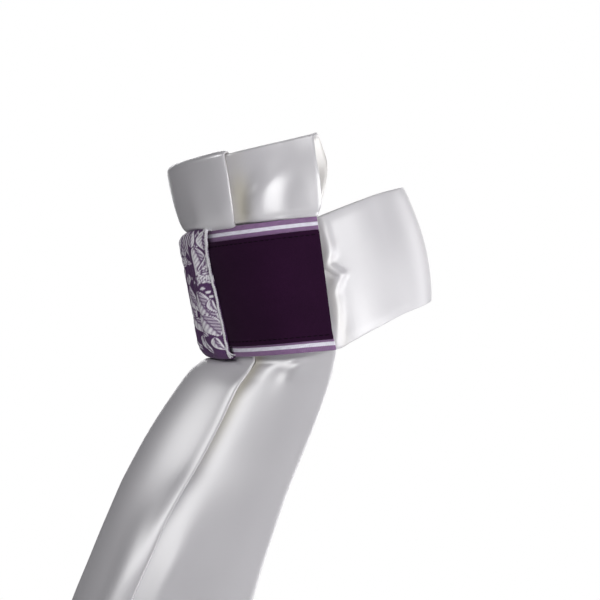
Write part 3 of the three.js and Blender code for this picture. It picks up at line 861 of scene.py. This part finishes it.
striped_ribbon, tree, shader = finish(
    "striped_ribbon", Roughness=0.55, Sheen_Weight=0.25, Specular_IOR_Level=0.35)
split = node(tree, "ShaderNodeSeparateXYZ", Vector=on_cloth(tree, 1, 1 / (RIBBON_WIDTH * MM)))
stripes = ramp(tree, split.outputs["Y"], *[(edge / RIBBON_WIDTH, colour) for edge, colour in STRIPES])
wear = noise(tree, (260, 900), detail=3)
worn = ramp(tree, wear, (0.25, (0.80, 0.80, 0.80)), (0.75, (1.08, 1.08, 1.08)))
ribs = node(tree, "ShaderNodeTexWave", Vector=on_cloth(tree, 300, 30), Scale=1.0, Distortion=0.4)
ribbon_colour = mixed(tree, 1.0, stripes, worn, "MULTIPLY")
surface(tree, shader, ribbon_colour, ribs.outputs["Fac"], depth=0.00012, strength=0.6)


# %% Ribbons
def ribbon(name, node, first_edge, last_edge):
    turn, height = strip(first_edge, last_edge, rows=12, columns=260)
    piece = cloth(name, on_band(turn, height, RIBBON / 2), RIBBON, striped_ribbon)
    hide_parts(node)
    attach(piece, "root")


ribbon("upper_striped_ribbon", "top_ribbon", band_top, lambda turn: panel_top(turn) - RIBBON_TUCK)
ribbon("lower_striped_ribbon", "bottom_ribbon", band_bottom,
       lambda turn: panel_bottom(turn) + RIBBON_TUCK)

# %% [markdown]
# ## The dark panel
#
# The panel between the ribbons is a close, matt, aubergine cloth. Its edges are turned under and
# topstitched in a thread that is darker still, and the stitches pull a shallow furrow into the
# cloth. The furrow is in the mesh, and each stitch is a short thread of its own that dives into the
# cloth at both ends.

# %% Panel finish
AUBERGINE = (0.026, 0.0045, 0.027)
AUBERGINE_DARK = (0.010, 0.0020, 0.011)

aubergine_cloth, tree, shader = finish(
    "aubergine_cloth", Roughness=0.8, Sheen_Weight=0.03, Sheen_Roughness=0.5, Specular_IOR_Level=0.08)
clouds = noise(tree, (55, 55), detail=3)
fibres = noise(tree, (1900, 1900), detail=2)
panel_colour = mixed(tree, clouds, AUBERGINE_DARK, AUBERGINE)
panel_colour = mixed(tree, fibres, panel_colour, AUBERGINE)
surface(tree, shader, panel_colour, fibres, depth=0.00018, strength=0.7)

# %% Panel
STITCH_INSET = 2.3
PANEL_LIFT = RIBBON + SEAT


def panel_softness(turn, height):
    """The furrows along the stitches, and the slight fullness between them."""
    from_top = panel_top(turn) - height
    from_bottom = height - panel_bottom(turn)
    furrows = swell(from_top, STITCH_INSET, 0.9) + swell(from_bottom, STITCH_INSET, 0.9)
    fullness = eased(np.minimum(from_top, from_bottom), 2, 14)
    wave = np.sin(np.radians(turn) * 7 + height * 0.09) * np.sin(height * 0.07 + 1)
    return 0.3 * fullness + 0.12 * wave * fullness - 0.45 * furrows


panel_turn, panel_height = strip(panel_top, panel_bottom, rows=90, columns=300)
panel_lift = PANEL_LIFT + PANEL / 2 + panel_softness(panel_turn, panel_height)
panel_middle = on_band(panel_turn, panel_height, panel_lift)
panel = cloth("aubergine_panel", panel_middle, PANEL, aubergine_cloth)
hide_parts("cross_panel")
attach(panel, "root")

# %% Topstitching
STITCH_LENGTH = 2.7
STITCH_PITCH = 3.4
STITCH_SUNK = 0.22
STITCH_BOW = 0.3
LAST_STITCH = 87
END_MARGIN = 1.2
THREAD_RADIUS = 0.25 * MM

stitch_thread = flecked(
    "stitch_thread", weave=(2000, 900), detail=1, low=(0.35, (0.0012, 0.0006, 0.0014)),
    high=(0.65, (0.006, 0.0025, 0.007)), Roughness=0.7, Specular_IOR_Level=0.05)


def stitch_row(line):
    """Short threads along a line of the panel, each one sunk at its ends."""
    per_degree = math.radians(1) * (NECK_HALF_DEPTH + 8)
    last = LAST_STITCH * per_degree
    along = np.linspace(0, 1, 5)
    paths = []
    for start in np.arange(-last, last, STITCH_PITCH):
        turn = (start + STITCH_LENGTH * along) / per_degree
        height = line(turn)
        if np.all(np.abs(turn) <= band_end(height) - END_MARGIN):
            rise = PANEL_LIFT + PANEL + panel_softness(turn, height) - STITCH_SUNK
            paths.append(on_band(turn, height, rise + STITCH_BOW * np.sin(along * math.pi)))
    return paths


stitch_paths = stitch_row(lambda turn: panel_top(turn) - STITCH_INSET)
stitch_paths += stitch_row(lambda turn: panel_bottom(turn) + STITCH_INSET)
stitches = threads("panel_topstitching", stitch_paths, THREAD_RADIUS, stitch_thread)
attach(stitches, "root")

# %% [markdown]
# ## The damask of the knot
#
# The knot's cloth is a brocade: silver-white leaves and roses woven over a purple ground, a pattern
# that has been common for centuries. Their fine hatching comes from the weave. The motifs could be
# drawn in shader nodes, but a leaf needs a root, a tip and veins of its own, so each is worked out
# here as a distance and stored at the mesh's points. The same value raises the motifs a little, as
# their floating threads do.
#
# Gathers take up more than half of the cloth's width, so the motifs are drawn narrow, in gathered
# millimetres across, and the cloth shows them wide where it lies open.

# %% Damask motifs
GATHERED = 0.45


def leaf(x, y, root, tip, width, bend=0.0):
    """How much white thread a leaf shows at each place, and how deep inside it the place is."""
    axis = np.subtract(tip, root)
    length = np.hypot(*axis)
    axis = axis / length
    forward = (x - root[0]) * axis[0] + (y - root[1]) * axis[1]
    aside = (y - root[1]) * axis[0] - (x - root[0]) * axis[1]
    share = np.clip(forward / length, 0, 1)
    aside = aside - bend * length * np.sin(share * math.pi)
    half = width * np.sin(math.pi * share ** 0.75) ** 0.7
    inside = np.minimum(half - np.abs(aside), np.minimum(forward, length - forward))
    rim = 1 - eased(inside, 0.3, 0.6)
    veins = 0.5 + 0.5 * np.sin(2 * math.pi * (np.abs(aside) / max(width, 0.1) * 1.6 - forward * 0.42))
    lit_half = eased(aside / np.maximum(half, 0.1), -0.25, 0.35)
    body = from_to(0.12 + 0.5 * veins, 0.5 + 0.4 * veins, lit_half)
    rib = 1 - eased(np.abs(aside + 0.25), 0.12, 0.4)
    return np.maximum(rim, body) * (1 - 0.6 * rib), inside


def rose(x, y, centre, radius):
    """A rose of overlapping petals: white thread with a dark groove that winds outwards."""
    dx, dy = x - centre[0], y - centre[1]
    reach = np.hypot(dx, dy)
    around = np.arctan2(dy, dx)
    inside = radius * (1 + 0.10 * np.cos(5 * around + 1.0)) - reach
    winding = reach / radius * 3.2 + 0.10 * np.sin(5 * around + 3 * reach / radius) - around / (2 * math.pi)
    part = winding - np.floor(winding)
    groove = 1 - eased(np.abs(part - 0.5), 0.05, 0.2)
    threads_lit = 0.75 + 0.25 * np.sin(9 * around + 4 * reach / radius)
    return threads_lit * (1 - 0.85 * groove), inside


def bud(x, y, centre, radius):
    """A small round bud."""
    inside = radius - np.hypot(x - centre[0], y - centre[1])
    return 0.85 + 0 * x, inside


LEAVES = [
    ((3, 31), (2, 38.5), 1.7), ((-1.2, 22.2), (10, 24.6), 1.7),
    ((5.8, 5), (1.7, 20.9), 2.3, 0.08), ((12.5, 15.6), (13.1, 6), 1.1),
    ((10.9, 14.8), (10.8, 5.6), 1.2), ((9, 4.8), (9.3, 21), 0.9, 0.1),
    ((11.6, 15.4), (11.3, 38.6), 2.3, -0.08), ((15.4, 6.5), (15.2, 18), 2.2, 0.05),
    ((12.6, 29.8), (16.3, 18.5), 1.7, 0.12), ((2, 46.5), (5.2, 59.5), 2),
    ((2.3, 37.8), (11.3, 57.6), 2.3, 0.1), ((4.2, 58.2), (11.7, 69.4), 2.5, 0.06),
    ((-4.2, 68.1), (6.3, 78.2), 1.6), ((6.3, 69.5), (12.1, 79.8), 1.9, 0.05),
    ((10.4, 42), (15.4, 62), 2.9, 0.04), ((10.5, 56), (15, 70), 3.4),
    ((13.3, 70.5), (15.6, 78.6), 1.5, 0.1), ((14.2, 47.6), (15.9, 56.4), 1.1, 0.1),
    ((-0.4, 27), (-2.2, 42), 1.9, 0.08), ((0.6, 6), (-2.2, 20), 1.9, -0.08),
]
ROSES = [((14.2, 34.7), 3.2), ((-0.6, 61.5), 3)]
BUDS = [((12.6, 40.6), 0.8), ((14, 43), 0.8), ((14.6, 46), 0.7), ((13, 47.6), 0.7),
        ((12.4, 44.4), 0.8), ((7.6, 66.4), 0.9), ((9.2, 36.2), 0.9), ((6.8, 33.6), 0.8)]
REPEAT = 84


def damask(x, y):
    """White thread at each place of the flat cloth, and the height of the motifs, both 0 to 1."""
    white = np.zeros(x.shape)
    height = np.zeros(x.shape)
    motifs = []
    for mark, table in ((bud, BUDS), (leaf, LEAVES), (rose, ROSES)):
        motifs += [mark(-x * GATHERED, REPEAT - y, *row) for row in table]
        motifs += [mark(x * GATHERED, y, *row) for row in table]
    for motif_white, inside in motifs:
        white = white * (1 - eased(inside, -0.5, -0.2))
        cover = eased(inside, -0.15, 0.2)
        white = from_to(white, motif_white, cover)
        height = from_to(height, 0.4 + 0.6 * eased(inside, 0, 1.2), cover)
    return white, height


# %% Brocade finish
GROUND = (0.070, 0.016, 0.095)
GREY_LILAC = (0.36, 0.28, 0.41)
SILVER = (0.88, 0.86, 0.90)
HATCHING = 0.30

brocade, tree, shader = finish("brocade", Roughness=0.5, Sheen_Weight=0.06, Specular_IOR_Level=0.35)
hatching = node(tree, "ShaderNodeTexWave", Vector=on_cloth(tree, 190, 110), Distortion=2.0)
shown = node(tree, "ShaderNodeMath")
shown.operation = "MULTIPLY_ADD"
terms = (hatching.outputs["Fac"], HATCHING, stored(tree, "white_thread"))
for socket, term in zip(shown.inputs, terms):
    plug(tree, socket, term)
silks = ramp(tree, shown.outputs[0], (0.22, GROUND), (0.48, GREY_LILAC), (0.92, SILVER))
fibres = noise(tree, (2600, 700), detail=2)
shade = ramp(tree, fibres, (0.05, (0.03, 0.01, 0.05)), (0.45, (1, 1, 1)))
brocade_colour = mixed(tree, 0.4, silks, shade, "MULTIPLY")
surface(tree, shader, brocade_colour, fibres, depth=0.00025, strength=0.7)

# %% [markdown]
# ## The knot
#
# The knot isn't tied: a strip of brocade is gathered over the front of the cross band, from the
# frill over the band's top edge and under its lower edge. The gathers slant from the wearer's right
# at the top to the left below. A white cord is sewn along both raw edges and ends in loose threads.

# %% Knot shape
KNOT_LIFT = PLEAT_STACK + RIBBON + SEAT + PANEL + SEAT
KNOT_DOWN = (0, 0, 0.01, 0.07, 0.25, 0.48, 0.7, 0.88, 0.97, 1, 1)
KNOT_PAST = (0.5, 0.9, 0.8, 0, 0, 0, 0, 0, 0, -0.4, -0.3)
KNOT_RAISED = (PLEAT_STACK, KNOT_LIFT - 1, KNOT_LIFT + 0.6) + (KNOT_LIFT,) * 6
KNOT_RAISED += (KNOT_LIFT - 1, PLEAT_STACK)
KNOT_HALF_WIDTH = (32, 32, 31.5, 28.4, 25.4, 25, 24, 23, 22.4, 22.2, 22.2)
KNOT_FOLDS = (0, 0.1, 0.5, 1, 1, 1, 1, 0.9, 0.5, 0.1, 0)
KNOT_CROWN = (0, 0.4, 1.6, 2.7, 3.3, 4.9, 6.2, 7, 7, 5, 0)
KNOT_FLAT_HALF = 36
BROCADE = 1.1


def knot_surface(share, row):
    turn = share * by_row(KNOT_HALF_WIDTH, row)
    phase = share * 3.1 - row / 10 * 2.3
    gathers = 2.6 * np.abs(np.sin(phase * math.pi / 2))
    small = 1.1 * np.abs(np.sin(share * 7.3 + row * 0.62 + 0.9 * np.sin(row * 0.8)))
    folds = by_row(KNOT_FOLDS, row) * (gathers + small - 0.4)
    folds = (1 - share ** 4) * (folds + by_row(KNOT_CROWN, row))
    height = from_to(band_top(turn), band_bottom(turn), by_row(KNOT_DOWN, row)) + by_row(KNOT_PAST, row)
    return round_neck(turn, height, by_row(KNOT_RAISED, row) + folds)


# %% Knot
knot_share, knot_row = np.meshgrid(np.linspace(-1, 1, 184), np.linspace(0, 10, 246))
knot_run = run_along(knot_surface(0.4, knot_row[:, 0]))
white_thread, motif_height = damask(knot_share * KNOT_FLAT_HALF, knot_run[:, None])
knot_lift = BROCADE / 2 + 0.1 + 0.35 * motif_height * (1 - knot_share ** 8)
knot_middle = leaned(raised(knot_surface, knot_share, knot_row, -knot_lift))
knot = cloth("brocade_knot", knot_middle, BROCADE, brocade, white_thread=white_thread)
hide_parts("knot_wrap")
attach(knot, "root")

# %% Edge cord and loose threads
white_cord = flecked(
    "white_cord", weave=(1500, 500), detail=2, low=(0.3, (0.62, 0.60, 0.66)),
    high=(0.65, (0.86, 0.85, 0.88)), Roughness=0.5, Sheen_Weight=0.3)

CORD_TWIST = 3.2
CORD_LIFT = 1.5
CORD_ASIDE = 0.45
CORD_SPREAD = 0.26
cord_rows = np.linspace(0.7, 9.45, 260)
cord_paths = []
for side in (-1, 1):
    edge = knot_surface(side, cord_rows)
    length = run_along(edge)
    outward = unit(edge * (1, 1, 0))
    aside = np.cross(unit(np.gradient(edge, axis=0)), outward)
    wander = 0.2 * np.sin(length * 0.9) + 0.25 * np.sin(length * 0.37 + side)
    for strand in (0, math.pi):
        turn = 2 * math.pi * length / CORD_TWIST + strand
        offset = outward * (CORD_LIFT + CORD_SPREAD * np.cos(turn))[:, None]
        offset = offset + aside * (CORD_SPREAD * np.sin(turn) + wander - CORD_ASIDE * side)[:, None]
        cord_paths.append(leaned(edge + offset))
cord_radius = from_to(0.78, 0.52, np.linspace(0, 1, len(cord_rows)))
edge_cord = threads("knot_edge_cord", cord_paths, cord_radius * MM, white_cord, sides=8)

TAILS = [
    ((22.4, -31.5, 14.4), (23, -36.6, 14.2), (27.6, -37.4, 12.9)),
    ((22.2, -31, 14.6), (22.2, -36, 14.4), (25.4, -38.4, 13.4)),
    ((29, 39.6, 14.6), (32.5, 43.6, 14.8), (36.6, 40.8, 13.6)),
    ((28.4, 38.8, 14.9), (30.5, 42.6, 15), (34.8, 41.9, 14.2)),
    ((29.6, 40.6, 14), (33, 42, 14.2), (35, 39.4, 13.8)),
    ((-22.2, -31, 14.4), (-23.6, -35.4, 14), (-25.8, -37, 13)),
]
tail_paths = []
for start, bend, tip in TAILS:
    t = np.linspace(0, 1, 12)[:, None]
    bow = (1 - t) ** 2 * np.array(start) + 2 * t * (1 - t) * np.array(bend) + t ** 2 * np.array(tip)
    tail_paths.append(leaned(round_neck(*bow.T)))
loose_threads = threads("knot_loose_threads", tail_paths, np.linspace(0.7, 0.28, 12) * MM, white_cord)
for piece in (edge_cord, loose_threads):
    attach(piece, "root")

# %% [markdown]
# ## The cut sizes of the satin
#
# A pleated sheet is much larger flat than it looks. Each was laid as one unbroken grid, so its flat
# size is that grid's length along and across; the cloth maker prints each piece's area.

# %% [markdown]
# ## The floor
#
# The tie is shown as worn, with nothing in it, so it hangs at neck height over a plain pale floor,
# which is a wide disc far enough below that the photograph's view doesn't meet it.

# %% Floor
FLOOR_DEPTH = -0.45
FLOOR_RADIUS = 1.2
floor_finish, tree, shader = finish("pale_floor", Roughness=0.9)
place = node(tree, "ShaderNodeTexCoord")
mottle = node(tree, "ShaderNodeTexNoise", Vector=place.outputs["Object"], Detail=3, Scale=9)
mottled = ramp(tree, mottle.outputs["Fac"], (0, (0.80, 0.80, 0.80)), (1, (0.84, 0.84, 0.84)))
surface(tree, shader, mottled)
rim = [FLOOR_RADIUS * direction(turn) for turn in np.arange(0, 360, 3.75)]
floor_mesh = bpy.data.meshes.new("floor")
floor_mesh.from_pydata(rim, [], [range(len(rim))])
floor_mesh.materials.append(floor_finish)
floor = added("floor", floor_mesh)
floor.location = (0, 0, FLOOR_DEPTH)
